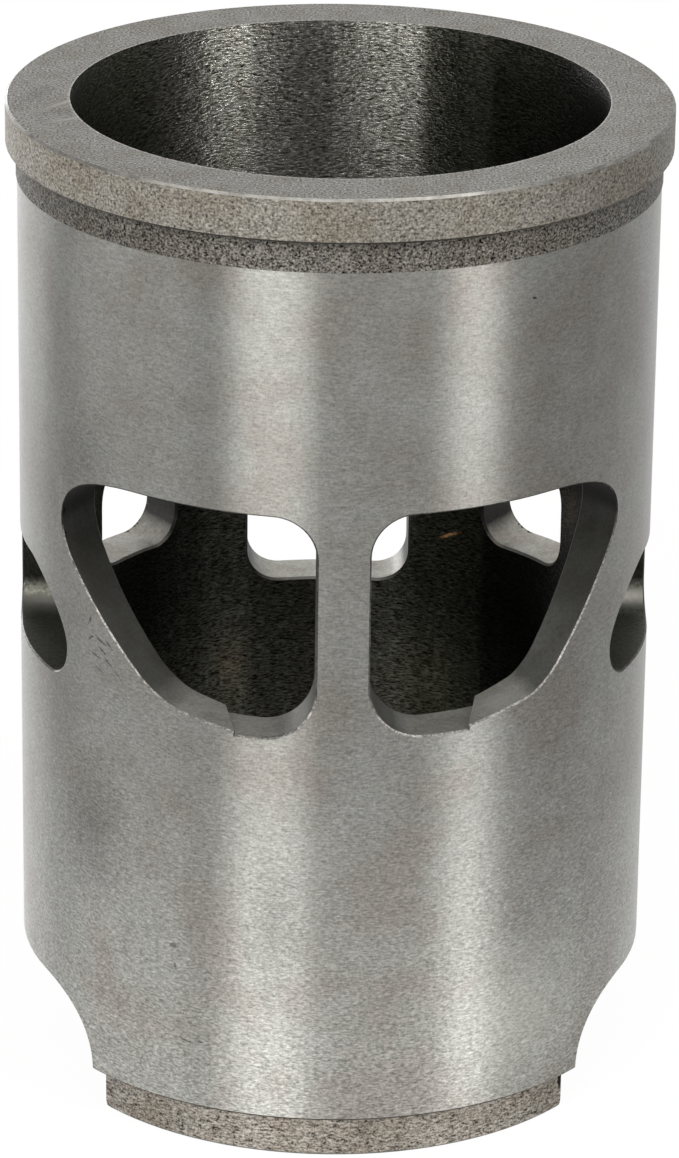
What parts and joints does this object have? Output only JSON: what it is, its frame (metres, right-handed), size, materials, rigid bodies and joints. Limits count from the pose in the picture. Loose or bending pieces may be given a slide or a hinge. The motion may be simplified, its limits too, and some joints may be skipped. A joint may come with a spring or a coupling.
{
  "type": "cylinder liner",
  "caption": "Flanged cast-iron cylinder liner of a two-stroke engine, with a bridged pair of exhaust windows, transfer and boost ports, and a notched skirt on a stepped pilot.",
  "frame": {"origin": "on the cylinder's axis at the foot's rim, the middle of the bottom of the bounding box", "axes": "+Z along the bore towards the flange, -Y to the front, where the bridge between the exhaust windows is, +X to the right seen from the front"},
  "size_m": [0.0822, 0.0822, 0.1263],
  "materials": {
    "ground_cast_iron": "satin, ground and turned"
  },
  "bodies": {
    "root": {"cylinder_liner": "ground_cast_iron"}
  },
  "joints": []
}
